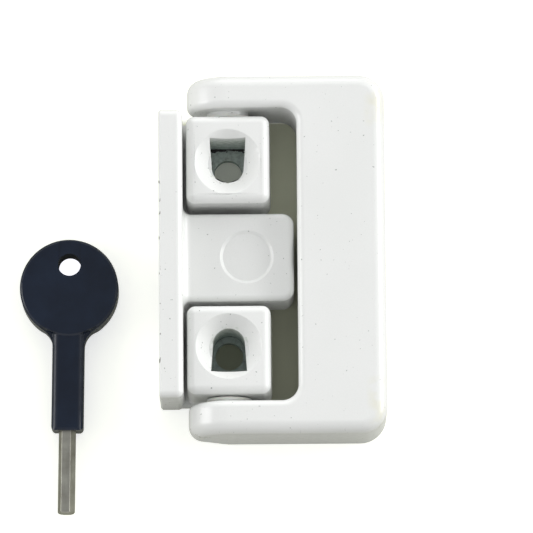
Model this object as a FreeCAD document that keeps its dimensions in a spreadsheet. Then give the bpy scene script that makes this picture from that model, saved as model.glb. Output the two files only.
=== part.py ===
import FreeCAD, Part
import os
import Sketcher

# Window swing lock: a screwed-on base, a C-shaped swing arm on two trunnions,
# a key-driven bolt in the arm's slab, and the loose key lying beside it.
# Millimetres. X runs from the rail to the arm's slab, Y along the pivot axis,
# Z away from the window frame. The origin is midway between the two fixing
# holes, on the mounting face, and the pivot axis stands straight above it.

document = FreeCAD.newDocument("WindowSwingLock")
sheet = document.addObject("Spreadsheet::Sheet", "Sizes")

sizes = {
    # swing arm
    "armThickness": 16.8,
    "openingHalf": 30.6,
    "barWidth": 6.8,
    "slabInner": 14.25,
    "slabWidth": 18.15,
    "armCorner": 5.4,
    "openingCorner": 3.4,
    "armEdge": 2.6,
    "openingEdge": 1.5,
    "endRoundShort": 0.001,
    "heelRun": 8.0,
    "heelRise": 6.6,
    "coreWall": 2.0,
    "coreRib": 1.8,
    "coreFront": 2.8,
    "boltBossHalf": 7.2,
    # base casting
    "railWidth": 4.9,
    "railInner": 9.35,
    "railEndGap": 0.55,
    "railHeight": 17.6,
    "railEdge": 1.4,
    "railRim": 0.4,
    "floorThickness": 2.0,
    "floorEndGap": 0.8,
    "floorRight": 8.2,
    "housingEnd": 13.5,
    "housingHalf": 9.15,
    "housingHeight": 11.6,
    "housingCorner": 2.4,
    "housingEdge": 1.2,
    "housingBlend": 1.6,
    "recessCentre": 3.8,
    "recessRadius": 4.95,
    "recessDepth": 0.5,
    "recessSlope": 0.6,
    "backCoreDepth": 7.4,
    "backCoreEdge": 1.0,
    "backCoreEnd": 1.8,
    # pivot blocks
    "blockHalfWidth": 8.85,
    "blockSetback": 1.35,
    "blockTop": 15.6,
    "blockDraft": 1.0,
    "blockEdge": 1.75,
    "screwSpacing": 38.6,
    "screwHole": 2.9,
    "dishRadius": 6.8,
    "dishDepth": 2.7,
    "dishThroat": 4.1,
    "pocketFlat": 5.1,
    "pocketFlatHalf": 3.72,
    "pocketRound": 3.3,
    "pocketRoundBack": 0.8,
    "spigotRadius": 1.25,
    "spigotInset": 2.3,
    "spigotRecess": 0.1,
    # pivots
    "trunnionRadius": 3.0,
    "trunnionLength": 5.0,
    "pivotClearance": 0.05,
    "bushWall": 0.85,
    "flangeRadius": 4.65,
    "flangeThickness": 0.6,
    "flangeClearance": 0.05,
    "padRise": 0.65,
    "padRoot": 1.6,
    "padRadius": 4.4,
    "sleeveLength": 4.0,
    "sleeveEndGap": 0.5,
    # bolt and its drive
    "boltHeight": 7.0,
    "boltThrow": 4.0,
    "noseRadius": 3.0,
    "noseLength": 5.0,
    "noseSetback": 0.45,
    "noseLead": 0.5,
    "guideRadius": 4.9,
    "guideLength": 6.5,
    "slideClearance": 0.1,
    "socketClearance": 0.3,
    "socketSpare": 0.8,
    "washerThickness": 0.7,
    "washerHole": 2.3,
    "threadRadius": 2.0,
    "threadReach": 8.1,
    "stemEndGap": 0.5,
    "driveHeadRadius": 3.6,
    "driveHeadLength": 2.6,
    "driveSocketDepth": 2.1,
    "endPlay": 0.1,
    "guidePinRadius": 0.9,
    "guidePinSetback": 0.4,
    "guidePinGap": 0.2,
    "guidePinRecess": 0.15,
    "keywayDepth": 1.2,
    "keyholeRadius": 2.0,
    # key
    "keyAcross": 3.15,
    "keyFit": 0.1,
    "headRadius": 10.2,
    "keyThickness": 6.0,
    "shankWidth": 6.6,
    "shankEnd": 29.7,
    "neckBlend": 4.0,
    "keyEdge": 0.5,
    "keyEndRound": 0.8,
    "ringHole": 2.35,
    "ringHoleUp": 4.9,
    "bandWidth": 4.5,
    "bandDepth": 0.2,
    "bladeReach": 46.9,
    "bladeRoot": 8.0,
    "bladeChamfer": 0.3,
    "bladeTwist": 7.0,
    "keyTurn": -0.9,
    "keyPlaceX": -33.1,
    "keyPlaceY": -5.2,
    # how far a cut starts outside the solid, and how far an added form starts inside it
    "overcut": 1.0,
    "overlap": 0.5,
}
for row, (alias, amount) in enumerate(sizes.items(), start=1):
    sheet.set("A%d" % row, alias)
    sheet.set("B%d" % row, str(amount))
    sheet.setAlias("B%d" % row, alias)
document.recompute()

# Lengths that follow from the sheet, written as expressions on its cells
pivotHeight = "Sizes.armThickness / 2"
armEndRadius = "Sizes.armThickness / 2"
armHalf = "(Sizes.openingHalf + Sizes.barWidth)"
slabOuter = "(Sizes.slabInner + Sizes.slabWidth)"
railOuter = "(Sizes.railInner + Sizes.railWidth)"
railHalf = "(Sizes.openingHalf - Sizes.railEndGap)"
floorHalf = "(Sizes.openingHalf - Sizes.floorEndGap)"
blockNear = "(Sizes.housingHalf + Sizes.blockSetback)"
flangeReach = "(Sizes.padRise + Sizes.flangeThickness + Sizes.flangeClearance)"
blockFar = "(Sizes.openingHalf - %s)" % flangeReach
screwOffset = "(Sizes.screwSpacing / 2)"
padFace = "(Sizes.openingHalf - Sizes.padRise)"
bushBore = "(Sizes.trunnionRadius + Sizes.pivotClearance)"
bushRadius = "(Sizes.trunnionRadius + Sizes.pivotClearance + Sizes.bushWall)"
boreRadius = "(Sizes.guideRadius + Sizes.slideClearance)"
noseTip = "(Sizes.slabInner + Sizes.noseSetback)"
guideStart = "(Sizes.slabInner + Sizes.noseSetback + Sizes.noseLength)"
guideEnd = guideStart[:-1] + " + Sizes.guideLength)"
washerStart = guideEnd[:-1] + " + 2 * Sizes.endPlay)"
washerEnd = washerStart[:-1] + " + Sizes.washerThickness)"
driveStart = washerEnd[:-1] + " + Sizes.endPlay)"
driveEnd = driveStart[:-1] + " + Sizes.driveHeadLength)"
shoulder = driveEnd[:-1] + " + Sizes.endPlay)"
pinPlace = guideStart[:-1] + " + Sizes.guidePinRadius + Sizes.guidePinSetback)"
keywayTop = "(Sizes.boltHeight - Sizes.guideRadius + Sizes.keywayDepth)"
keyCorner = "(Sizes.keyAcross / sqrt(3))"


def size(expression):
    return float(sheet.evalExpression(expression))


def new_body(label):
    body = document.addObject("PartDesign::Body", label)
    body.Label = label
    return body


def bind(feature, **expressions):
    for name, expression in expressions.items():
        feature.setExpression(name, str(expression))
    return feature


def place(feature, x="0", y="0", z="0", axis=None, turn=0, spin=0):
    # turn lays the feature's own Z along another axis, spin twists it about its own Z first
    if axis is not None:
        upright = FreeCAD.Rotation(FreeCAD.Vector(0, 0, 1), spin)
        rotation = FreeCAD.Rotation(FreeCAD.Vector(*axis), turn) * upright
        feature.Placement = FreeCAD.Placement(FreeCAD.Vector(), rotation)
    for name, expression in zip("xyz", (x, y, z)):
        feature.setExpression(".Placement.Base." + name, str(expression))
    return feature


def new_sketch(body, name, role, offset="0"):
    sketch = body.newObject("Sketcher::SketchObject", name)
    planes = [item for item in body.Origin.OriginFeatures if item.Role == role]
    sketch.AttachmentSupport = [(planes[0], "")]
    sketch.MapMode = "FlatFace"
    sketch.setExpression(".AttachmentOffset.Base.z", str(offset))
    return sketch


def fix_point(sketch, index, end, corner):
    # holds one end of a sketch line at two expressions
    for kind, expression in zip(("DistanceX", "DistanceY"), corner):
        amount = size(expression)
        if abs(amount) < 1e-9:
            other = 1 if kind == "DistanceX" else 2
            line = -2 if other == 1 else -1
            sketch.addConstraint(Sketcher.Constraint("PointOnObject", index, end, line))
            continue
        number = sketch.addConstraint(Sketcher.Constraint(kind, -1, 1, index, end, amount))
        sketch.setExpression("Constraints[%d]" % number, expression)


def outline(sketch, corners):
    # one closed outline of straight lines through corners given as expressions
    points = [FreeCAD.Vector(size(x), size(y), 0) for x, y in corners]
    first = sketch.GeometryCount
    for point, following in zip(points, points[1:] + points[:1]):
        sketch.addGeometry(Part.LineSegment(point, following), False)
    count = len(points)
    for step in range(count):
        here = first + step
        after = first + (step + 1) % count
        sketch.addConstraint(Sketcher.Constraint("Coincident", here, 2, after, 1))
    for step, corner in enumerate(corners):
        fix_point(sketch, first + step, 1, corner)


def rectangle(sketch, left, right, low, high):
    outline(sketch, [(left, low), (right, low), (right, high), (left, high)])


def pad(body, name, sketch, length):
    feature = body.newObject("PartDesign::Pad", name)
    feature.Profile = sketch
    bind(feature, Length=length)
    return feature


def pocket(body, name, sketch, length):
    feature = body.newObject("PartDesign::Pocket", name)
    feature.Profile = sketch
    bind(feature, Length=length)
    return feature


def cylinder(body, name, kind, radius, height, **placing):
    feature = body.newObject("PartDesign::%sCylinder" % kind, name)
    bind(feature, Radius=radius, Height=height)
    return place(feature, **placing)


def cone(body, name, kind, lower, upper, height, **placing):
    feature = body.newObject("PartDesign::%sCone" % kind, name)
    bind(feature, Radius1=lower, Radius2=upper, Height=height)
    return place(feature, **placing)


def box(body, name, kind, length, width, height, **placing):
    feature = body.newObject("PartDesign::%sBox" % kind, name)
    bind(feature, Length=length, Width=width, Height=height)
    return place(feature, **placing)


def prism(body, name, kind, corner, height, **placing):
    feature = body.newObject("PartDesign::%sPrism" % kind, name)
    feature.Polygon = 6
    bind(feature, Circumradius=corner, Height=height)
    return place(feature, **placing)


def edges_where(body, test):
    document.recompute()
    shape = body.Tip.Shape
    names = []
    for number, edge in enumerate(shape.Edges, start=1):
        if test(edge):
            names.append("Edge%d" % number)
    return names


def fillet(body, name, radius, test):
    names = edges_where(body, test)
    base = body.Tip
    feature = body.newObject("PartDesign::Fillet", name)
    feature.Base = (base, names)
    bind(feature, Radius=radius)
    document.recompute()
    return feature


def draft(body, name, angle, test):
    # leans the chosen walls inwards with height, about the mounting plane
    document.recompute()
    base = body.Tip
    names = []
    for number, face in enumerate(base.Shape.Faces, start=1):
        if test(face):
            names.append("Face%d" % number)
    feature = body.newObject("PartDesign::Draft", name)
    feature.Base = (base, names)
    planes = [item for item in body.Origin.OriginFeatures if item.Role == "XY_Plane"]
    feature.NeutralPlane = (planes[0], [""])
    bind(feature, Angle=angle)
    document.recompute()
    return feature


def chamfer(body, name, width, test):
    names = edges_where(body, test)
    base = body.Tip
    feature = body.newObject("PartDesign::Chamfer", name)
    feature.Base = (base, names)
    bind(feature, Size=width)
    document.recompute()
    return feature


def near(value, expected, slack=0.05):
    return abs(value - expected) < slack


def flat_at(edge, axis, level, slack=0.02):
    # true for an edge that lies wholly in one plane across X, Y or Z
    bounds = edge.BoundBox
    low = getattr(bounds, axis + "Min")
    high = getattr(bounds, axis + "Max")
    return near(low, level, slack) and near(high, level, slack)


def stands(face):
    return face.BoundBox.ZLength > 1


def leans_along_z(edge):
    # true for a corner edge that stands on the mounting plane, drafted or not
    bounds = edge.BoundBox
    return bounds.ZLength > 2 * max(bounds.XLength, bounds.YLength)


# Swing arm: one C, cored from the back, round at its two free ends
def make_swing_arm():
    body = new_body("swing_arm")
    thickness = size("Sizes.armThickness")
    left = -size(armEndRadius)
    reach = "-(%s)" % armEndRadius
    plan = new_sketch(body, "arm_plan", "XY_Plane")
    outline(plan, [
        (reach, "-" + armHalf),
        (slabOuter, "-" + armHalf),
        (slabOuter, armHalf),
        (reach, armHalf),
        (reach, "Sizes.openingHalf"),
        ("Sizes.slabInner", "Sizes.openingHalf"),
        ("Sizes.slabInner", "-Sizes.openingHalf"),
        (reach, "-Sizes.openingHalf"),
    ])
    pad(body, "arm_blank", plan, "Sizes.armThickness")
    fillet(body, "arm_corners", "Sizes.armCorner",
           lambda edge: leans_along_z(edge) and flat_at(edge, "X", size(slabOuter)))
    fillet(body, "opening_corners", "Sizes.openingCorner",
           lambda edge: leans_along_z(edge) and flat_at(edge, "X", size("Sizes.slabInner")))
    fillet(body, "arm_end_rounds", armEndRadius + " - Sizes.endRoundShort",
           lambda edge: flat_at(edge, "X", left) and flat_at(edge, "Z", thickness))

    names = edges_where(body, lambda edge: flat_at(edge, "X", left) and flat_at(edge, "Z", 0))
    base = body.Tip
    heel = body.newObject("PartDesign::Chamfer", "arm_heels")
    heel.Base = (base, names)
    heel.ChamferType = "Two distances"
    bind(heel, Size="Sizes.heelRise", Size2="Sizes.heelRun")
    document.recompute()
    bottom = [edge for edge in body.Tip.Shape.Edges
              if flat_at(edge, "Z", 0) and edge.BoundBox.XMax < 0 and edge.BoundBox.XLength < 0.1]
    if bottom and bottom[0].CenterOfMass.x < left + size("Sizes.heelRise") + 0.1:
        heel.FlipDirection = True
        document.recompute()
    fillet(body, "outer_edges", "Sizes.armEdge",
           lambda edge: flat_at(edge, "Z", thickness) and flat_at(edge, "X", size(slabOuter)))
    fillet(body, "opening_edges", "Sizes.openingEdge",
           lambda edge: flat_at(edge, "Z", thickness) and flat_at(edge, "X", size("Sizes.slabInner")))

    # raised faces that the bush flanges seat on, and the blind pivot bores
    for side, sign in (("upper", 1), ("lower", -1)):
        start = "%d * %s" % (sign, padFace)
        turn = -90 * sign
        cylinder(body, side + "_pivot_pad", "Additive", "Sizes.padRadius",
                 "Sizes.padRise + Sizes.padRoot", y=start, z=pivotHeight,
                 axis=(1, 0, 0), turn=turn)
        cylinder(body, side + "_pivot_bore", "Subtractive", bushRadius,
                 "Sizes.sleeveLength + Sizes.sleeveEndGap",
                 y=start, z=pivotHeight, axis=(1, 0, 0), turn=turn)

    # the bolt's stepped bore runs from the opening to the keyhole
    along = {"axis": (0, 1, 0), "turn": 90, "z": "Sizes.boltHeight"}
    cylinder(body, "bolt_bore", "Subtractive", boreRadius,
             "%s - Sizes.slabInner + Sizes.overcut" % washerEnd,
             x="Sizes.slabInner - Sizes.overcut", **along)
    cylinder(body, "drive_head_bore", "Subtractive", "Sizes.driveHeadRadius + Sizes.slideClearance",
             "%s - %s" % (shoulder, washerEnd), x=washerEnd, **along)
    cylinder(body, "keyhole", "Subtractive", "Sizes.keyholeRadius",
             "%s - %s + Sizes.overcut" % (slabOuter, shoulder), x=shoulder, **along)
    cylinder(body, "guide_pin_hole", "Subtractive", "Sizes.guidePinRadius",
             "Sizes.boltHeight", x=pinPlace)

    # lightening pockets open to the back, two on each side of the bolt with a rib between them
    column = "((Sizes.slabWidth - 2 * Sizes.coreWall - Sizes.coreRib) / 2)"
    far_side = "(%s - Sizes.coreWall - Sizes.armEdge)" % armHalf
    cores = new_sketch(body, "core_plan", "XY_Plane")
    for across in (0, 1):
        left_side = "Sizes.slabInner + Sizes.coreWall + %d * (%s + Sizes.coreRib)" % (across, column)
        right_side = "%s + %s" % (left_side, column)
        rectangle(cores, left_side, right_side, "Sizes.boltBossHalf", far_side)
        rectangle(cores, left_side, right_side, "-" + far_side, "-Sizes.boltBossHalf")
    core = pocket(body, "cores", cores, "Sizes.armThickness - Sizes.coreFront")
    core.Reversed = True
    document.recompute()
    return body


# Base casting: thin floor, tall rail along one side, central bolt housing
def make_base_casting():
    body = new_body("base_casting")
    rail_height = size("Sizes.railHeight")
    housing_height = size("Sizes.housingHeight")
    inner = -size("Sizes.railInner")
    half = size("Sizes.housingHalf")

    floor = new_sketch(body, "floor_plan", "XY_Plane")
    rectangle(floor, "-" + railOuter, "Sizes.floorRight", "-" + floorHalf, floorHalf)
    pad(body, "floor", floor, "Sizes.floorThickness")
    rail = new_sketch(body, "rail_plan", "XY_Plane")
    rectangle(rail, "-" + railOuter, "-Sizes.railInner", "-" + railHalf, railHalf)
    pad(body, "rail", rail, "Sizes.railHeight")
    housing = new_sketch(body, "housing_plan", "XY_Plane")
    rectangle(housing, "-Sizes.railInner - Sizes.overlap", "Sizes.housingEnd",
              "-Sizes.housingHalf", "Sizes.housingHalf")
    pad(body, "housing", housing, "Sizes.housingHeight")

    fillet(body, "housing_corners", "Sizes.housingCorner",
           lambda edge: leans_along_z(edge)
           and near(edge.CenterOfMass.x, size("Sizes.housingEnd")))
    fillet(body, "housing_edges", "Sizes.housingEdge",
           lambda edge: flat_at(edge, "Z", housing_height)
           and not flat_at(edge, "X", inner))
    fillet(body, "housing_root", "Sizes.housingBlend",
           lambda edge: flat_at(edge, "X", inner) and edge.BoundBox.YMax < half + 0.1
           and edge.BoundBox.YMin > -half - 0.1 and edge.BoundBox.ZMax < housing_height + 0.1
           and edge.BoundBox.ZMax > size("Sizes.floorThickness") + 0.1)
    end = size(railHalf)
    fillet(body, "rail_edges", "Sizes.railEdge",
           lambda edge: edge.BoundBox.ZMax > rail_height - 0.1
           and (flat_at(edge, "X", inner) or flat_at(edge, "Z", rail_height)
                and near(abs(edge.CenterOfMass.y), end)))
    outer = -size(railOuter)
    chamfer(body, "rail_outer_edge", "Sizes.railRim",
            lambda edge: flat_at(edge, "Z", rail_height) and flat_at(edge, "X", outer))

    # shallow round recess with a sloped rim in the housing's front
    cylinder(body, "recess", "Subtractive", "Sizes.recessRadius",
             "Sizes.recessDepth + Sizes.overcut",
             x="Sizes.recessCentre", z="Sizes.housingHeight - Sizes.recessDepth")
    cone(body, "recess_rim", "Subtractive", "Sizes.recessRadius",
         "Sizes.recessRadius + Sizes.recessSlope", "Sizes.recessDepth",
         x="Sizes.recessCentre", z="Sizes.housingHeight - Sizes.recessDepth")

    # socket that the bolt's nose enters
    depth = "(Sizes.housingEnd - %s + Sizes.boltThrow + Sizes.socketSpare)" % noseTip
    cylinder(body, "bolt_socket", "Subtractive", "Sizes.noseRadius + Sizes.socketClearance",
             depth + " + Sizes.overcut", x="Sizes.housingEnd - " + depth, z="Sizes.boltHeight",
             axis=(0, 1, 0), turn=90)

    # fixing holes, and the holes that the block spigots are pressed into
    for side, sign in (("upper", 1), ("lower", -1)):
        through = "Sizes.floorThickness + 2 * Sizes.overcut"
        cylinder(body, side + "_fixing_hole", "Subtractive", "Sizes.screwHole",
                 through, y="%d * %s" % (sign, screwOffset), z="-Sizes.overcut")
        for where, spot in spigot_spots(sign):
            cylinder(body, "%s_%s_spigot_hole" % (side, where), "Subtractive",
                     "Sizes.spigotRadius", through, y=spot, z="-Sizes.overcut")

    # lightening pockets under the housing, open to the back
    cores = new_sketch(body, "core_plan", "XY_Plane")
    rib = "Sizes.coreRib"
    first = "-Sizes.railInner + Sizes.backCoreEdge"
    wide = "((Sizes.backCoreEnd + Sizes.railInner - Sizes.backCoreEdge - Sizes.coreRib) / 2)"
    tall = "(Sizes.housingHalf - Sizes.coreWall - Sizes.coreRib / 2)"
    for across in (0, 1):
        left_side = "%s + %d * (%s + %s)" % (first, across, wide, rib)
        right_side = "%s + %s" % (left_side, wide)
        rectangle(cores, left_side, right_side, rib + " / 2", "%s / 2 + %s" % (rib, tall))
        rectangle(cores, left_side, right_side, "-(%s / 2 + %s)" % (rib, tall), "-%s / 2" % rib)
    core = pocket(body, "cores", cores, "Sizes.backCoreDepth")
    core.Reversed = True
    document.recompute()
    return body


def spigot_spots(sign):
    inset = "Sizes.spigotInset"
    return (
        ("near", "%d * (%s + %s)" % (sign, blockNear, inset)),
        ("far", "%d * (%s - %s)" % (sign, blockFar, inset)),
    )


# Pivot block: drafted square block with a dished screw pocket and a trunnion
def make_pivot_block(side, sign):
    body = new_body(side + "_pivot_block")
    top = size("Sizes.blockTop")
    near_end = "%d * %s" % (sign, blockNear)
    far_end = "%d * %s" % (sign, blockFar)
    low, high = (near_end, far_end) if sign > 0 else (far_end, near_end)
    plan = new_sketch(body, "block_plan", "XY_Plane", "Sizes.floorThickness")
    rectangle(plan, "-Sizes.blockHalfWidth", "Sizes.blockHalfWidth", low, high)
    pad(body, "block", plan, "Sizes.blockTop - Sizes.floorThickness")
    draft(body, "block_walls", "Sizes.blockDraft", stands)
    fillet(body, "block_edges", "Sizes.blockEdge",
           lambda edge: leans_along_z(edge) or flat_at(edge, "Z", top))

    middle = "%d * %s" % (sign, screwOffset)
    cone(body, "dish", "Subtractive", "Sizes.dishThroat", "Sizes.dishRadius",
         "Sizes.dishDepth", y=middle, z="Sizes.blockTop - Sizes.dishDepth")
    flat = "%d * (%s + Sizes.pocketFlat)" % (sign, screwOffset)
    centre = "%d * (%s - Sizes.pocketRoundBack)" % (sign, screwOffset)
    head_room = new_sketch(body, "screw_pocket_plan", "XY_Plane", "Sizes.floorThickness")
    outline(head_room, [
        ("-Sizes.pocketRound", centre),
        ("Sizes.pocketRound", centre),
        ("Sizes.pocketFlatHalf", flat),
        ("-Sizes.pocketFlatHalf", flat),
    ])
    opening = pocket(body, "screw_pocket", head_room,
                     "Sizes.blockTop - Sizes.floorThickness + Sizes.overcut")
    opening.Reversed = True
    cylinder(body, "screw_pocket_round", "Subtractive", "Sizes.pocketRound",
             "Sizes.blockTop", y=centre, z="Sizes.floorThickness - Sizes.overcut")

    tilt = -90 * sign
    cylinder(body, "trunnion", "Additive", "Sizes.trunnionRadius",
             "Sizes.trunnionLength + Sizes.overlap",
             y="%s - %d * Sizes.overlap" % (far_end, sign),
             z=pivotHeight, axis=(1, 0, 0), turn=tilt)
    for where, spot in spigot_spots(sign):
        cylinder(body, where + "_spigot", "Additive", "Sizes.spigotRadius",
                 "Sizes.floorThickness - Sizes.spigotRecess + Sizes.overlap",
                 y=spot, z="Sizes.spigotRecess")
    document.recompute()
    return body


# Flanged bush between a trunnion and the arm's bore
def make_pivot_bush(side, sign):
    body = new_body(side + "_pivot_bush")
    face = "%d * %s" % (sign, padFace)
    tilt = {"z": pivotHeight, "axis": (1, 0, 0), "turn": -90 * sign}
    cylinder(body, "sleeve", "Additive", bushRadius,
             "Sizes.flangeThickness + Sizes.sleeveLength",
             y="%s - %d * Sizes.flangeThickness" % (face, sign), **tilt)
    cylinder(body, "flange", "Additive", "Sizes.flangeRadius", "Sizes.flangeThickness",
             y="%s - %d * Sizes.flangeThickness" % (face, sign), **tilt)
    cylinder(body, "running_bore", "Subtractive", bushBore,
             "Sizes.flangeThickness + Sizes.sleeveLength + 2 * Sizes.overcut",
             y="%s - %d * (Sizes.flangeThickness + Sizes.overcut)" % (face, sign), **tilt)
    document.recompute()
    return body


# Lock bolt: round nose, wider guide with a keyway, threaded from behind
def make_lock_bolt():
    body = new_body("lock_bolt")
    along = {"axis": (0, 1, 0), "turn": 90}
    cylinder(body, "nose", "Additive", "Sizes.noseRadius", "Sizes.noseLength + Sizes.overlap",
             x=noseTip, **along)
    cylinder(body, "guide", "Additive", "Sizes.guideRadius", "Sizes.guideLength",
             x=guideStart, **along)
    tip = size(noseTip)
    chamfer(body, "nose_lead", "Sizes.noseLead", lambda edge: flat_at(edge, "X", tip))
    cylinder(body, "drive_thread_bore", "Subtractive", "Sizes.threadRadius + Sizes.slideClearance",
             "Sizes.threadReach + Sizes.overcut",
             x="%s - Sizes.threadReach" % guideEnd, **along)
    box(body, "keyway", "Subtractive", "Sizes.guideLength + 2 * Sizes.overcut",
        "2 * (Sizes.guidePinRadius + Sizes.slideClearance)",
        "Sizes.keywayDepth + Sizes.overcut",
        x=guideStart + " - Sizes.overcut", y="-(Sizes.guidePinRadius + Sizes.slideClearance)",
        z="-Sizes.guideRadius - Sizes.overcut")
    body.setExpression(".Placement.Base.z", "Sizes.boltHeight")
    document.recompute()
    return body


# Drive screw: threaded stem and a head with the key's hexagon socket
def make_drive_screw():
    body = new_body("drive_screw")
    along = {"axis": (0, 1, 0), "turn": 90}
    stem = "(%s - %s + Sizes.threadReach - Sizes.stemEndGap)" % (driveStart, guideEnd)
    cylinder(body, "threaded_stem", "Additive", "Sizes.threadRadius", stem + " + Sizes.overlap",
             x="%s - %s" % (driveStart, stem), **along)
    cylinder(body, "head", "Additive", "Sizes.driveHeadRadius", "Sizes.driveHeadLength",
             x=driveStart, **along)
    prism(body, "key_socket", "Subtractive", "(Sizes.keyAcross + Sizes.keyFit) / sqrt(3)",
          "Sizes.driveSocketDepth + Sizes.overcut",
          x=driveEnd + " - Sizes.driveSocketDepth", **along)
    body.setExpression(".Placement.Base.z", "Sizes.boltHeight")
    document.recompute()
    return body


# Washer pressed against the step of the bore, which holds the drive screw in
def make_retaining_washer():
    body = new_body("drive_retaining_washer")
    ring = new_sketch(body, "washer_plan", "YZ_Plane", washerStart)
    for radius in (boreRadius, "Sizes.washerHole"):
        number = ring.addGeometry(Part.Circle(FreeCAD.Vector(), FreeCAD.Vector(0, 0, 1), size(radius)))
        ring.addConstraint(Sketcher.Constraint("Coincident", number, 3, -1, 1))
        rule = ring.addConstraint(Sketcher.Constraint("Radius", number, size(radius)))
        ring.setExpression("Constraints[%d]" % rule, radius)
    pad(body, "washer", ring, "Sizes.washerThickness")
    body.setExpression(".Placement.Base.z", "Sizes.boltHeight")
    document.recompute()
    return body


# Pin driven in from the back, which keeps the bolt from turning
def make_guide_pin():
    body = new_body("bolt_guide_pin")
    cylinder(body, "pin", "Additive", "Sizes.guidePinRadius",
             "%s - Sizes.guidePinGap - Sizes.guidePinRecess" % keywayTop,
             x=pinPlace, z="Sizes.guidePinRecess")
    document.recompute()
    return body


# Key handle: round head with a ring hole, flowing into a square shank
def make_key_head():
    body = new_body("key_head")
    cylinder(body, "head", "Additive", "Sizes.headRadius", "Sizes.keyThickness")
    shank = new_sketch(body, "shank_plan", "XY_Plane")
    rectangle(shank, "-Sizes.shankWidth / 2", "Sizes.shankWidth / 2", "-Sizes.shankEnd", "0")
    pad(body, "shank", shank, "Sizes.keyThickness")
    thick = size("Sizes.keyThickness")
    end = -size("Sizes.shankEnd")
    side = size("Sizes.shankWidth / 2")
    fillet(body, "neck", "Sizes.neckBlend",
           lambda edge: leans_along_z(edge) and edge.CenterOfMass.y > end + 5
           and near(abs(edge.CenterOfMass.x), side))
    fillet(body, "shank_end_corners", "Sizes.keyEndRound",
           lambda edge: leans_along_z(edge) and near(edge.CenterOfMass.y, end))
    chamfer(body, "key_edges", "Sizes.keyEdge",
            lambda edge: flat_at(edge, "Z", thick) or flat_at(edge, "Z", 0))
    cylinder(body, "ring_hole", "Subtractive", "Sizes.ringHole",
             "Sizes.keyThickness + 2 * Sizes.overcut", y="Sizes.ringHoleUp", z="-Sizes.overcut")
    box(body, "ring_band", "Subtractive", "Sizes.bandWidth", "Sizes.headRadius",
        "Sizes.bandDepth + Sizes.overcut", x="-Sizes.bandWidth / 2", y="Sizes.ringHoleUp",
        z="Sizes.keyThickness - Sizes.bandDepth")
    prism(body, "blade_seat", "Subtractive", keyCorner, "Sizes.bladeRoot + Sizes.overcut",
          y="-Sizes.shankEnd + Sizes.bladeRoot", z="Sizes.keyThickness / 2",
          axis=(1, 0, 0), turn=90, spin=size("Sizes.bladeTwist"))
    lay_key(body)
    document.recompute()
    return body


# Key blade: hexagonal steel bar moulded into the shank
def make_key_blade():
    body = new_body("key_blade")
    prism(body, "bar", "Additive", keyCorner, "Sizes.bladeReach - Sizes.shankEnd + Sizes.bladeRoot",
          y="-Sizes.shankEnd + Sizes.bladeRoot", z="Sizes.keyThickness / 2",
          axis=(1, 0, 0), turn=90, spin=size("Sizes.bladeTwist"))
    tip = -size("Sizes.bladeReach")
    chamfer(body, "tip", "Sizes.bladeChamfer", lambda edge: flat_at(edge, "Y", tip))
    lay_key(body)
    document.recompute()
    return body


def lay_key(body):
    rotation = FreeCAD.Rotation(FreeCAD.Vector(0, 0, 1), size("Sizes.keyTurn"))
    body.Placement = FreeCAD.Placement(FreeCAD.Vector(), rotation)
    body.setExpression(".Placement.Base.x", "Sizes.keyPlaceX")
    body.setExpression(".Placement.Base.y", "Sizes.keyPlaceY")


pieces = [
    make_base_casting(),
    make_pivot_block("upper", 1),
    make_pivot_block("lower", -1),
    make_swing_arm(),
    make_pivot_bush("upper", 1),
    make_pivot_bush("lower", -1),
    make_lock_bolt(),
    make_drive_screw(),
    make_retaining_washer(),
    make_guide_pin(),
    make_key_head(),
    make_key_blade(),
]
document.recompute()

failed = [item.Name for item in document.Objects
          if "Invalid" in item.State or "Error" in item.State]
if failed:
    raise RuntimeError("these objects failed: " + ", ".join(failed))

os.makedirs("parts", exist_ok=True)
for piece in pieces:
    shape = piece.Shape
    if shape.isNull() or not shape.isValid() or len(shape.Solids) != 1:
        raise RuntimeError("%s has no valid single solid" % piece.Label)
    shape.exportStep("parts/%s.step" % piece.Label)
    print("%-24s %9.1f mm3  %s" % (piece.Label, shape.Volume, shape.BoundBox))
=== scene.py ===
import math

import bmesh
import bpy
from mathutils import Matrix, Vector


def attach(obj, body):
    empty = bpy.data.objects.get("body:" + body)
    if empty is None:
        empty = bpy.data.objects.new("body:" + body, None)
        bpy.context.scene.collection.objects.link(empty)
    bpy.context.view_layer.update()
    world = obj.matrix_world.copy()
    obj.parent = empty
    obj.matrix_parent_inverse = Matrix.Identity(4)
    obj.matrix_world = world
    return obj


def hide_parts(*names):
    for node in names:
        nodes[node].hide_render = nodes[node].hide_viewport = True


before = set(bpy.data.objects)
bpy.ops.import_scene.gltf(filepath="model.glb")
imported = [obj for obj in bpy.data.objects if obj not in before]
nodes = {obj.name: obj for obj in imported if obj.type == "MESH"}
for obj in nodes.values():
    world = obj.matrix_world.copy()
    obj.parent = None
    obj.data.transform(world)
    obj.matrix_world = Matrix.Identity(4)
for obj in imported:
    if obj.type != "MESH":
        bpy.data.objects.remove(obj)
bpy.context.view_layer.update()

# Window swing lock with its loose key. Metres, in the part's own frame: X runs
# towards the arm's slab, Y along the pivot axis, Z away from the window frame.
mm = 0.001
print("frame loaded:", len(nodes), "nodes")


# Node tools: every pattern is placed by Object coordinates, in metres
def startMaterial(name):
    material = bpy.data.materials.new(name)
    material.use_nodes = True
    tree = material.node_tree
    tree.nodes.clear()
    output = tree.nodes.new("ShaderNodeOutputMaterial")
    shader = tree.nodes.new("ShaderNodeBsdfPrincipled")
    tree.links.new(shader.outputs["BSDF"], output.inputs["Surface"])
    return material, tree, shader


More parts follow.
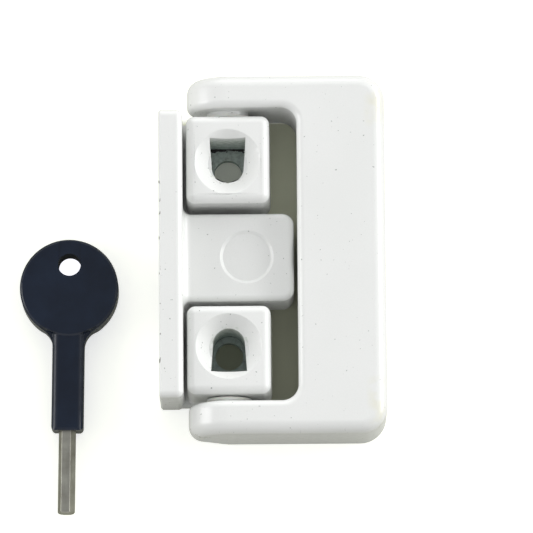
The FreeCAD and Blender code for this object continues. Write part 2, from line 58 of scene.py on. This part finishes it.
def addNode(tree, kind, inputs=None, **settings):
    node = tree.nodes.new("ShaderNode" + kind)
    for name, value in settings.items():
        setattr(node, name, value)
    for name, value in (inputs or {}).items():
        if isinstance(value, bpy.types.NodeSocket):
            tree.links.new(value, node.inputs[name])
        else:
            node.inputs[name].default_value = value
    return node


def objectPlace(tree):
    return addNode(tree, "TexCoord").outputs["Object"]


def splitPlace(tree, place):
    parts = addNode(tree, "SeparateXYZ", {0: place})
    return [parts.outputs[axis] for axis in "XYZ"]


def noise(tree, place, perMetre, detail=2.0, roughness=0.5):
    node = addNode(tree, "TexNoise", {"Vector": place, "Scale": perMetre, "Detail": detail,
                                      "Roughness": roughness})
    return node.outputs["Fac"]


def spread(tree, value, low, high, toLow=0.0, toHigh=1.0):
    node = addNode(tree, "MapRange", {"Value": value, "From Min": low, "From Max": high,
                                      "To Min": toLow, "To Max": toHigh})
    return node.outputs["Result"]


def below(tree, value, low, high):
    return spread(tree, value, low, high, 1.0, 0.0)


def combine(tree, operation, first, second=0.5):
    node = addNode(tree, "Math", {0: first, 1: second}, operation=operation)
    return node.outputs[0]


def overlapOf(tree, first, *others):
    for other in others:
        first = combine(tree, "MULTIPLY", first, other)
    return first


def within(tree, value, middle, half, blur):
    away = combine(tree, "ABSOLUTE", combine(tree, "SUBTRACT", value, middle))
    return below(tree, away, half - blur, half + blur)


def insideBox(tree, values, middles, halves, blur):
    return overlapOf(tree, *[within(tree, value, middle, half, blur)
                             for value, middle, half in zip(values, middles, halves)])


def blendColours(tree, share, first, second):
    node = tree.nodes.new("ShaderNodeMix")
    node.data_type = "RGBA"
    colours = [socket for socket in node.inputs if socket.type == "RGBA"]
    for socket, value in ((node.inputs[0], share), (colours[0], first), (colours[1], second)):
        if isinstance(value, bpy.types.NodeSocket):
            tree.links.new(value, socket)
        else:
            socket.default_value = value
    return [socket for socket in node.outputs if socket.type == "RGBA"][0]


def clouded(tree, cloud, look):
    return blendColours(tree, spread(tree, cloud, *look["cloudFrom"]), look["shade"], look["tone"])


def roughen(tree, shader, pattern, look):
    rough = spread(tree, pattern, *look["roughFrom"], *look["roughness"])
    tree.links.new(rough, shader.inputs["Roughness"])


def bump(tree, shader, height, depth, strength=1.0):
    node = addNode(tree, "Bump", {"Height": height, "Distance": depth, "Strength": strength})
    tree.links.new(node.outputs["Normal"], shader.inputs["Normal"])


def colour(red, green, blue):
    return (red, green, blue, 1.0)


# White enamel: satin powder coat over cast zinc, slightly uneven, with fine specks
enamelLook = {
    "tone": colour(0.845, 0.853, 0.838),
    "shade": colour(0.818, 0.829, 0.812),
    "cloudFrom": (0.38, 0.62),
    "speck": colour(0.30, 0.32, 0.30),
    "speckFrom": (0.740, 0.785),
    "speckShare": 0.8,
    "roughFrom": (0.3, 0.7),
    "roughness": (0.215, 0.268),
    "gloss": 0.70,
    "patches": 55.0,
    "patchShare": 0.6,
    "grain": 3200.0,
    "grainShare": 0.4,
    "specks": 1550.0,
    "peel": 850.0,
    "peelDepth": 0.0035 * mm,
}


def makeEnamel(name, addWear):
    look = enamelLook
    material, tree, shader = startMaterial(name)
    place = objectPlace(tree)
    patches = noise(tree, place, look["patches"], detail=3.0)
    uneven = combine(tree, "ADD", combine(tree, "MULTIPLY", patches, look["patchShare"]),
                     combine(tree, "MULTIPLY", noise(tree, place, look["grain"]),
                             look["grainShare"]))
    base = clouded(tree, uneven, look)
    specks = spread(tree, noise(tree, place, look["specks"], detail=1.0), *look["speckFrom"])
    specks = combine(tree, "MULTIPLY", specks, look["speckShare"])
    base = blendColours(tree, specks, base, look["speck"])
    tree.links.new(addWear(tree, place, base), shader.inputs["Base Color"])
    roughen(tree, shader, noise(tree, place, look["peel"]), look)
    shader.inputs["Specular IOR Level"].default_value = look["gloss"]
    bump(tree, shader, noise(tree, place, look["peel"], detail=0.0), look["peelDepth"])
    return material


# Castings: paint thins to bare metal inside the screw pockets, with painted shade that darkens
# the metal deeper down and all through the lower pocket. The pockets have a dark ragged seam at
# the foot of their walls, and the rail's outer edge is chipped
castingWear = {
    "coarse": 700.0,
    "fine": 1100.0,
    "fineRoughness": 0.55,
    "noiseFrom": (0.25, 0.75),
    "pocketHalf": (3.95 * mm, 4.95 * mm),
    "pocketOut": 19.8 * mm,
    "pocketBlur": 0.01 * mm,
    "paintFade": (12.1 * mm, 12.9 * mm),
    # thinning coat with painted shade: the pocket metal darkens deeper down
    "coatAndShadeFade": (4.5 * mm, 12.7 * mm),
    "ragged": 1.5 * mm,
    "thinCoat": colour(0.86, 0.89, 0.84),
    "bareMetal": colour(0.66, 0.74, 0.70),
    # painted shade: the lower pocket's bare metal is darker than the upper pocket's
    "bareLowerShaded": colour(0.42, 0.50, 0.465),
    "lowerPocketShadeFrom": (0.0, 0.1 * mm),
    "grimeFrom": (0.40, 0.70),
    "grimeShare": (0.0, 0.30),
    "seam": colour(0.010, 0.011, 0.010),
    "seamAt": 2.80 * mm,
    "seamHalf": 0.26 * mm,
    "seamBlur": 0.12 * mm,
    "teeth": 0.50 * mm,
    "pocketEnd": 24.6 * mm,
    "endSeam": (0.40 * mm, 0.60 * mm),
    "ledgeFade": (2.9 * mm, 3.1 * mm),
    "railSide": (-14.00 * mm, -13.80 * mm),
    "railTop": 17.6 * mm,
    "chipHalf": 0.75 * mm,
    "chipBlur": 0.15 * mm,
    "chips": 480.0,
    "chipFrom": (0.645, 0.675),
    "chip": colour(0.13, 0.13, 0.11),
}


def wearCasting(tree, place, base):
    look = castingWear
    x, y, z = splitPlace(tree, place)
    out = combine(tree, "ABSOLUTE", y)
    coarse = noise(tree, place, look["coarse"], detail=3.0)
    fine = noise(tree, place, look["fine"], roughness=look["fineRoughness"])
    wander = spread(tree, coarse, *look["noiseFrom"], -look["ragged"], look["ragged"])
    tooth = spread(tree, fine, *look["noiseFrom"], -look["teeth"], look["teeth"])
    height = combine(tree, "ADD", z, wander)
    # painted shade: bare metal in the lower pocket is darker than in the upper one
    bareWithLowerShade = blendColours(tree, spread(tree, y, *look["lowerPocketShadeFrom"]), look["bareLowerShaded"],
                        look["bareMetal"])
    # the coat thins towards the pocket floor, with painted shade darkening it deeper down
    metal = blendColours(tree, spread(tree, height, *look["coatAndShadeFade"]), bareWithLowerShade, look["thinCoat"])
    grime = spread(tree, fine, *look["grimeFrom"], *look["grimeShare"])
    metal = blendColours(tree, grime, metal, look["seam"])
    inner = blendColours(tree, spread(tree, height, *look["paintFade"]), metal, base)
    seam = within(tree, combine(tree, "ADD", z, tooth), look["seamAt"], look["seamHalf"],
                  look["seamBlur"])
    inner = blendColours(tree, seam, inner, look["seam"])
    fromEnd = combine(tree, "ADD", combine(tree, "SUBTRACT", look["pocketEnd"], out), tooth)
    endSeam = overlapOf(tree, below(tree, fromEnd, *look["endSeam"]),
                        below(tree, z, *look["ledgeFade"]))
    inner = blendColours(tree, endSeam, inner, look["seam"])
    pocket = insideBox(tree, (x, out), (0.0, look["pocketOut"]), look["pocketHalf"],
                       look["pocketBlur"])
    base = blendColours(tree, pocket, base, inner)
    chipped = noise(tree, place, look["chips"])
    chips = overlapOf(tree, below(tree, x, *look["railSide"]),
                      within(tree, z, look["railTop"], look["chipHalf"], look["chipBlur"]),
                      spread(tree, chipped, *look["chipFrom"]))
    return blendColours(tree, chips, base, look["chip"])


# Arm: a rubbed patch on the heel of the lower bar, faint yellowing at the slab's corners
armWear = {
    "rubAt": (-5.6 * mm, -35.5 * mm, 10.2 * mm),
    "rubHalf": (1.7 * mm, 2.6 * mm, 0.9 * mm),
    "rubBlur": 0.3 * mm,
    "rubDots": 1500.0,
    "rubFrom": (0.53, 0.60),
    "rub": colour(0.23, 0.22, 0.15),
    "cornerAt": (30.3 * mm, 31.0 * mm, 15.0 * mm),
    "cornerHalf": (1.5 * mm, 4.5 * mm, 2.2 * mm),
    "cornerBlur": 0.9 * mm,
    "stains": 300.0,
    "stainFrom": (0.42, 0.62),
    "stainShare": (0.0, 0.8),
    "yellowed": colour(0.80, 0.79, 0.66),
}


def wearArm(tree, place, base):
    look = armWear
    x, y, z = splitPlace(tree, place)
    out = combine(tree, "ABSOLUTE", y)
    corner = insideBox(tree, (x, out, z), look["cornerAt"], look["cornerHalf"],
                       look["cornerBlur"])
    stains = noise(tree, place, look["stains"], detail=3.0)
    stain = overlapOf(tree, corner, spread(tree, stains, *look["stainFrom"], *look["stainShare"]))
    base = blendColours(tree, stain, base, look["yellowed"])
    rub = insideBox(tree, (x, y, z), look["rubAt"], look["rubHalf"], look["rubBlur"])
    dots = noise(tree, place, look["rubDots"])
    dots = overlapOf(tree, rub, spread(tree, dots, *look["rubFrom"]))
    return blendColours(tree, dots, base, look["rub"])


# Nylon: off-white, slightly see-through, finely frosted
nylonLook = {
    "tone": colour(0.80, 0.81, 0.77),
    "shade": colour(0.74, 0.75, 0.70),
    "cloud": 420.0,
    "cloudFrom": (0.35, 0.65),
    "roughness": 0.48,
    "seeThrough": 0.12,
    "seeDepth": 0.6 * mm,
    "frost": 2600.0,
    "frostDepth": 0.006 * mm,
}


def makeNylon():
    look = nylonLook
    material, tree, shader = startMaterial("whiteNylon")
    place = objectPlace(tree)
    cloud = noise(tree, place, look["cloud"], detail=3.0)
    tree.links.new(clouded(tree, cloud, look), shader.inputs["Base Color"])
    shader.inputs["Roughness"].default_value = look["roughness"]
    shader.inputs["Subsurface Weight"].default_value = look["seeThrough"]
    shader.inputs["Subsurface Scale"].default_value = look["seeDepth"]
    bump(tree, shader, noise(tree, place, look["frost"]), look["frostDepth"])
    return material


# Bright zinc plate: pale grey metal with fine turning lines round each shaft
plateLook = {
    "tone": colour(0.62, 0.62, 0.59),
    "shade": colour(0.47, 0.47, 0.44),
    "cloud": 260.0,
    "cloudFrom": (0.35, 0.65),
    "roughFrom": (0.3, 0.7),
    "roughness": (0.28, 0.40),
    "lines": 1400.0,
    "lineWaver": 0.6,
    "lineDepth": 0.004 * mm,
    "lineStrength": 0.6,
}


def makePlatedSteel():
    look = plateLook
    material, tree, shader = startMaterial("platedSteel")
    place = objectPlace(tree)
    cloud = noise(tree, place, look["cloud"], detail=4.0)
    tree.links.new(clouded(tree, cloud, look), shader.inputs["Base Color"])
    shader.inputs["Metallic"].default_value = 1.0
    roughen(tree, shader, cloud, look)
    lines = addNode(tree, "TexWave", {"Vector": place, "Scale": look["lines"],
                                      "Distortion": look["lineWaver"], "Detail": 2.0},
                    bands_direction="X")
    bump(tree, shader, lines.outputs["Fac"], look["lineDepth"], look["lineStrength"])
    return material


# Key handle: dark navy plastic, smooth and half glossy
plasticLook = {
    "tone": colour(0.0065, 0.0130, 0.0290),
    "shade": colour(0.0042, 0.0088, 0.0205),
    "cloud": 160.0,
    "cloudFrom": (0.35, 0.65),
    "grain": 2400.0,
    "grainDepth": 0.008 * mm,
    "roughFrom": (0.3, 0.7),
    "roughness": (0.215, 0.268),
    "gloss": 0.34,
}


def makeNavyPlastic():
    look = plasticLook
    material, tree, shader = startMaterial("navyPlastic")
    place = objectPlace(tree)
    cloud = noise(tree, place, look["cloud"], detail=3.0)
    grain = noise(tree, place, look["grain"])
    tree.links.new(clouded(tree, cloud, look), shader.inputs["Base Color"])
    shader.inputs["Specular IOR Level"].default_value = look["gloss"]
    roughen(tree, shader, grain, look)
    bump(tree, shader, combine(tree, "ADD", grain, cloud), look["grainDepth"])
    return material


# Key blade: nickel plated drawn bar, with faint lines along its length
bladeLook = {
    "tone": colour(0.40, 0.395, 0.350),
    "shade": colour(0.27, 0.265, 0.23),
    "cloud": 380.0,
    "cloudFrom": (0.3, 0.7),
    "roughFrom": (0.3, 0.7),
    "roughness": (0.28, 0.40),
    "lines": (5200.0, 160.0, 5200.0),
    "lineDepth": 0.006 * mm,
}


def makeKeySteel():
    look = bladeLook
    material, tree, shader = startMaterial("keySteel")
    place = objectPlace(tree)
    stretch = addNode(tree, "Mapping", {"Vector": place, "Scale": look["lines"]})
    lines = noise(tree, stretch.outputs["Vector"], perMetre=1.0, detail=3.0)
    cloud = noise(tree, place, look["cloud"], detail=3.0)
    tree.links.new(clouded(tree, cloud, look), shader.inputs["Base Color"])
    shader.inputs["Metallic"].default_value = 1.0
    roughen(tree, shader, lines, look)
    bump(tree, shader, lines, look["lineDepth"])
    return material


armEnamel = makeEnamel("armEnamel", wearArm)
castingEnamel = makeEnamel("castingEnamel", wearCasting)
whiteNylon = makeNylon()
platedSteel = makePlatedSteel()
navyPlastic = makeNavyPlastic()
keySteel = makeKeySteel()
print("materials made")


# Finished pieces: each stands for its solid, with merged faces, eased edges and smooth curves
easing = {
    "weld": 0.002 * mm,
    "flatWithin": math.radians(0.4),
    "bevelAbove": math.radians(35),
    "rings": 2,
    "roundness": 0.5,
    "smoothBelow": math.radians(38),
}


def easedCopy(name, piece, material, shapeIt=None):
    model = bmesh.new()
    model.from_mesh(nodes[piece["node"]].data)
    bmesh.ops.remove_doubles(model, verts=model.verts, dist=easing["weld"])
    bmesh.ops.dissolve_limit(model, angle_limit=easing["flatWithin"], verts=model.verts,
                             edges=model.edges)
    if shapeIt:
        shapeIt(model, piece)
    sharp = [edge for edge in model.edges
             if edge.is_manifold and edge.calc_face_angle(0.0) > easing["bevelAbove"]]
    bmesh.ops.bevel(model, geom=sharp, affect="EDGES", offset=piece["edge"],
                    segments=easing["rings"], profile=easing["roundness"], material=-1,
                    clamp_overlap=True)
    bmesh.ops.remove_doubles(model, verts=model.verts, dist=easing["weld"])
    bmesh.ops.recalc_face_normals(model, faces=model.faces)
    for face in model.faces:
        face.smooth = True
    for edge in model.edges:
        edge.smooth = not edge.is_manifold or edge.calc_face_angle(0.0) < easing["smoothBelow"]
    mesh = bpy.data.meshes.new(name)
    model.to_mesh(mesh)
    model.free()
    finishPiece(name, mesh, piece, material)


def finishPiece(name, mesh, piece, material):
    made = bpy.data.objects.new(name, mesh)
    bpy.context.scene.collection.objects.link(made)
    modifier = made.modifiers.new("evenShading", "WEIGHTED_NORMAL")
    modifier.keep_sharp = True
    depsgraph = bpy.context.evaluated_depsgraph_get()
    made.data = bpy.data.meshes.new_from_object(made.evaluated_get(depsgraph))
    made.modifiers.clear()
    made.data.materials.clear()
    made.data.materials.append(material)
    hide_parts(piece["node"])
    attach(made, piece["body"])
    print("piece", name, len(made.data.polygons), "faces")


swingArm = {"node": "swing_arm", "body": "arm", "slot": "white_zinc", "edge": 0.18 * mm}
easedCopy("swingArm", swingArm, armEnamel)

baseCasting = {"node": "base_casting", "body": "base", "slot": "white_zinc", "edge": 0.15 * mm}
easedCopy("baseCasting", baseCasting, castingEnamel)

for side in ("upper", "lower"):
    pivotBlock = {"node": side + "_pivot_block", "body": "base", "slot": "white_zinc",
                  "edge": 0.20 * mm}
    easedCopy(side + "PivotBlock", pivotBlock, castingEnamel)
    pivotBush = {"node": side + "_pivot_bush", "body": "arm", "slot": "white_nylon",
                 "edge": 0.12 * mm}
    easedCopy(side + "PivotBush", pivotBush, whiteNylon)

lockBolt = {"node": "lock_bolt", "body": "bolt", "slot": "plated_steel", "edge": 0.12 * mm}
easedCopy("lockBolt", lockBolt, platedSteel)

driveScrew = {"node": "drive_screw", "body": "drive", "slot": "plated_steel", "edge": 0.1 * mm}
easedCopy("driveScrew", driveScrew, platedSteel)

retainingWasher = {"node": "drive_retaining_washer", "body": "arm", "slot": "plated_steel",
                   "edge": 0.08 * mm}
easedCopy("retainingWasher", retainingWasher, platedSteel)

guidePin = {"node": "bolt_guide_pin", "body": "arm", "slot": "plated_steel", "edge": 0.08 * mm}
easedCopy("guidePin", guidePin, platedSteel)

# Key handle: the round head stands a little proud of the shank, whose long edges are rounded.
# Distances run from the head's middle, along the key (downwards is negative) or across it.
keyHead = {
    "node": "key_head", "body": "key", "slot": "navy_plastic", "edge": 0.12 * mm,
    "place": (-33.1 * mm, -5.2 * mm),
    "turn": -0.9,
    "thick": 6.0 * mm,
    "proudTo": (9.65 * mm, 10.05 * mm),
    "step": 0.32 * mm,
    "flatHalf": 1.9 * mm,
    "sideHalf": 3.3 * mm,
    "round": 1.5 * mm,
    "neckFrom": -7.6 * mm,
    "neckTo": -10.6 * mm,
    "neckHalf": 7.2 * mm,
    "neckFade": 1.4 * mm,
    "neckCut": 0.15 * mm,
    "acrossCut": 0.20 * mm,
    "cutWithin": 0.0005 * mm,
    "levelAbove": 0.5,
    "midBand": 0.1 * mm,
}


def cutAcross(model, piece, place, direction, keepFace):
    faces = [face for face in model.faces if keepFace(face)]
    edges = {edge for face in faces for edge in face.edges}
    verts = {vert for face in faces for vert in face.verts}
    bmesh.ops.bisect_plane(model, geom=faces + list(edges) + list(verts),
                           dist=piece["cutWithin"], plane_co=place, plane_no=direction)


def cutShank(model, piece, middle, along, across):
    def level(face):
        return abs(face.normal.z) > piece["levelAbove"]

    def onShank(face):
        return level(face) and (face.calc_center_median() - middle).dot(along) < piece["neckFrom"]

    down = piece["neckFrom"]
    while down > piece["neckTo"]:
        cutAcross(model, piece, middle + along * down, along, level)
        down -= piece["neckCut"]
    steps = round(piece["neckHalf"] / piece["acrossCut"])
    for step in range(-steps, steps + 1):
        cutAcross(model, piece, middle + across * step * piece["acrossCut"], across, onShank)


def roundShank(model, piece):
    turned = Matrix.Rotation(math.radians(piece["turn"]), 3, "Z")
    middle = Vector((*piece["place"], 0.0))
    along, across = turned @ Vector((0.0, 1.0, 0.0)), turned @ Vector((1.0, 0.0, 0.0))
    cutShank(model, piece, middle, along, across)
    half = piece["thick"] / 2
    low, high = piece["proudTo"]
    for vert in model.verts:
        out = vert.co - middle
        down, side = out.dot(along), abs(out.dot(across))
        if down > piece["neckFrom"] or abs(vert.co.z - half) < piece["midBand"]:
            continue
        share = min(1.0, max(0.0, (math.hypot(down, side) - low) / (high - low)))
        share = share * share * (3.0 - 2.0 * share)
        share *= min(1.0, (piece["neckFrom"] - down) / piece["neckFade"])
        past = min(max(side - piece["flatHalf"], 0.0), piece["sideHalf"] - piece["flatHalf"])
        fall = piece["round"] - math.sqrt(max(piece["round"] ** 2 - past ** 2, 0.0))
        reach = half - share * (piece["step"] + fall)
        vert.co.z = half + min(max(vert.co.z - half, -reach), reach)


easedCopy("keyHead", keyHead, navyPlastic, roundShank)

keyBlade = {"node": "key_blade", "body": "key", "slot": "key_steel", "edge": 0.08 * mm}
easedCopy("keyBlade", keyBlade, keySteel)
print("pieces made")


# Floor: pale warm paper, which the camera sees brightened to white. The part inside the lock's
# outline stays plain where it is sheltered, with painted shade towards the lower end. Painted
# light spots, in the key's ring hole and the upper screw hole, glow brighter still.
floorLook = {
    "half": 3.0,
    "drop": 0.02 * mm,
    "paper": colour(0.76, 0.78, 0.60),
    "asLight": colour(0.50, 0.50, 0.47),
    "glow": colour(0.56, 0.56, 0.61),
    "reflected": 0.4,
    "plainMiddle": (1.3 * mm, 1.1 * mm),
    "plainHalf": (14.4 * mm, 29.8 * mm),
    "blur": 0.6 * mm,
    "shelterReach": 30.0 * mm,
    "shelterRays": 16,
    "openSky": (0.35, 0.55),
    # painted shade on the sheltered floor towards the lower end
    "lowerFloorShade": colour(0.46, 0.47, 0.36),
    "lowerFloorShadeFrom": (-4.0 * mm, -7.0 * mm),
    # painted light: the floor glows brighter in these spots
    "paintedLightSpots": (
        {"at": (-33.0 * mm, -0.3 * mm), "half": (2.6 * mm, 2.6 * mm), "glow": 0.9},
        {"at": (0.0, 19.3 * mm), "half": (4.5 * mm, 4.5 * mm), "glow": 0.12},
    ),
}


def makePaper():
    look = floorLook
    material = bpy.data.materials.new("floorPaper")
    material.use_nodes = True
    tree = material.node_tree
    tree.nodes.clear()
    output = tree.nodes.new("ShaderNodeOutputMaterial")
    rays = addNode(tree, "LightPath")
    seen = rays.outputs["Is Camera Ray"]
    reflected = combine(tree, "MULTIPLY", rays.outputs["Is Glossy Ray"], look["reflected"])
    shown = combine(tree, "MAXIMUM", seen, reflected)
    x, y = splitPlace(tree, objectPlace(tree))[:2]
    sky = addNode(tree, "AmbientOcclusion", {"Distance": look["shelterReach"]},
                  samples=look["shelterRays"])
    outline = insideBox(tree, (x, y), look["plainMiddle"], look["plainHalf"], look["blur"])
    plain = overlapOf(tree, outline, below(tree, sky.outputs["AO"], *look["openSky"]))
    paper = blendColours(tree, shown, look["asLight"], look["paper"])
    # painted shade: the sheltered floor is darker towards the lower end
    lowerFloorShaded = overlapOf(tree, plain, spread(tree, y, *look["lowerFloorShadeFrom"]), shown)
    paper = blendColours(tree, lowerFloorShaded, paper, look["lowerFloorShade"])
    surface = addNode(tree, "BsdfDiffuse", {"Color": paper})
    bright = below(tree, plain, 0.0, 1.0)
    # painted light in the key's ring hole and the upper screw hole
    for lightSpot in look["paintedLightSpots"]:
        lit = insideBox(tree, (x, y), lightSpot["at"], lightSpot["half"], look["blur"])
        bright = combine(tree, "ADD", bright, combine(tree, "MULTIPLY", lit, lightSpot["glow"]))
    glowing = combine(tree, "MULTIPLY", seen, bright)
    glow = addNode(tree, "Emission", {"Color": look["glow"], "Strength": glowing})
    whole = addNode(tree, "AddShader", {0: surface.outputs["BSDF"], 1: glow.outputs["Emission"]})
    tree.links.new(whole.outputs["Shader"], output.inputs["Surface"])
    return material


def makeFloor():
    look = floorLook
    model = bmesh.new()
    bmesh.ops.create_grid(model, x_segments=1, y_segments=1, size=look["half"],
                          matrix=Matrix.Translation((0.0, 0.0, -look["drop"])))
    mesh = bpy.data.meshes.new("floor")
    model.to_mesh(mesh)
    model.free()
    mesh.materials.append(makePaper())
    floor = bpy.data.objects.new("floor", mesh)
    bpy.context.scene.collection.objects.link(floor)


# World: a pale tent with a greyer ceiling. As light it is dimmer than it looks, and brighter
# towards the right and the upper end.
worldLook = {
    "walls": colour(1.0, 1.0, 1.0),
    "ceiling": colour(0.42, 0.43, 0.44),
    "ceilingFrom": (0.72, 1.0),
    "asLight": 0.81,
    "leanRight": 0.12,
    "leanUpper": 0.42,
}


def makeWorld():
    look = worldLook
    world = bpy.data.worlds.new("studio")
    bpy.context.scene.world = world
    world.use_nodes = True
    tree = world.node_tree
    tree.nodes.clear()
    output = tree.nodes.new("ShaderNodeOutputWorld")
    background = tree.nodes.new("ShaderNodeBackground")
    tree.links.new(background.outputs["Background"], output.inputs["Surface"])
    x, y, z = splitPlace(tree, addNode(tree, "TexCoord").outputs["Generated"])
    tint = blendColours(tree, spread(tree, z, *look["ceilingFrom"]), look["walls"],
                        look["ceiling"])
    tree.links.new(tint, background.inputs["Color"])
    lean = combine(tree, "ADD", combine(tree, "MULTIPLY", x, look["leanRight"]),
                   combine(tree, "MULTIPLY", y, look["leanUpper"]))
    light = combine(tree, "MULTIPLY", combine(tree, "ADD", lean, 1.0), look["asLight"])
    rays = addNode(tree, "LightPath")
    seen = rays.outputs["Is Camera Ray"]
    for kind in ("Is Glossy Ray", "Is Transmission Ray"):
        seen = combine(tree, "MAXIMUM", seen, rays.outputs[kind])
    tree.links.new(spread(tree, seen, 0.0, 1.0, light, 1.0), background.inputs["Strength"])


# Lamps: wide, low soft boxes to the right, to the left and beyond the upper end
lampLook = {
    "rightBox": {"at": (1.059, 0.284, 0.488), "size": (1.10, 0.60), "power": 8.2},
    "leftBox": {"at": (-1.120, 0.0, 0.430), "size": (0.55, 0.70), "power": 4.4},
    "upperBox": {"at": (-0.200, 1.100, 0.420), "size": (0.60, 0.40), "power": 1.3},
}
lampAim = Vector((0.0, 0.0, 0.01))


def makeLamp(name, look):
    lamp = bpy.data.lights.new(name, "AREA")
    lamp.shape = "RECTANGLE"
    lamp.size, lamp.size_y = look["size"]
    lamp.energy = look["power"]
    holder = bpy.data.objects.new(name, lamp)
    bpy.context.scene.collection.objects.link(holder)
    holder.location = look["at"]
    holder.rotation_euler = (Vector(look["at"]) - lampAim).to_track_quat("Z", "Y").to_euler()


# Camera: nearly overhead, tipped towards the lower end, as in the photograph
cameraLook = {
    "tilt": 10.375,
    "roll": -0.468,
    "distance": 1.11558,
    "focus": (7.849 * mm, 0.037 * mm, 0.0),
    "lens": 361.5,
    "sensor": 36.0,
    "near": 0.1,
    "far": 20.0,
}


def makeCamera():
    look = cameraLook
    lens = bpy.data.cameras.new("camera")
    lens.lens = look["lens"]
    lens.sensor_width = look["sensor"]
    lens.clip_start = look["near"]
    lens.clip_end = look["far"]
    holder = bpy.data.objects.new("camera", lens)
    bpy.context.scene.collection.objects.link(holder)
    tip = Matrix.Rotation(math.radians(look["tilt"]), 4, "X")
    turn = Matrix.Rotation(math.radians(look["roll"]), 4, "Z")
    back = Matrix.Translation((0.0, 0.0, look["distance"]))
    aim = Matrix.Translation(look["focus"])
    holder.matrix_world = aim @ tip @ back @ turn
    bpy.context.scene.camera = holder


makeFloor()
makeWorld()
for lampName, boxLook in lampLook.items():
    makeLamp(lampName, boxLook)
makeCamera()
bpy.context.scene.view_settings.view_transform = "Standard"
print("stage made")
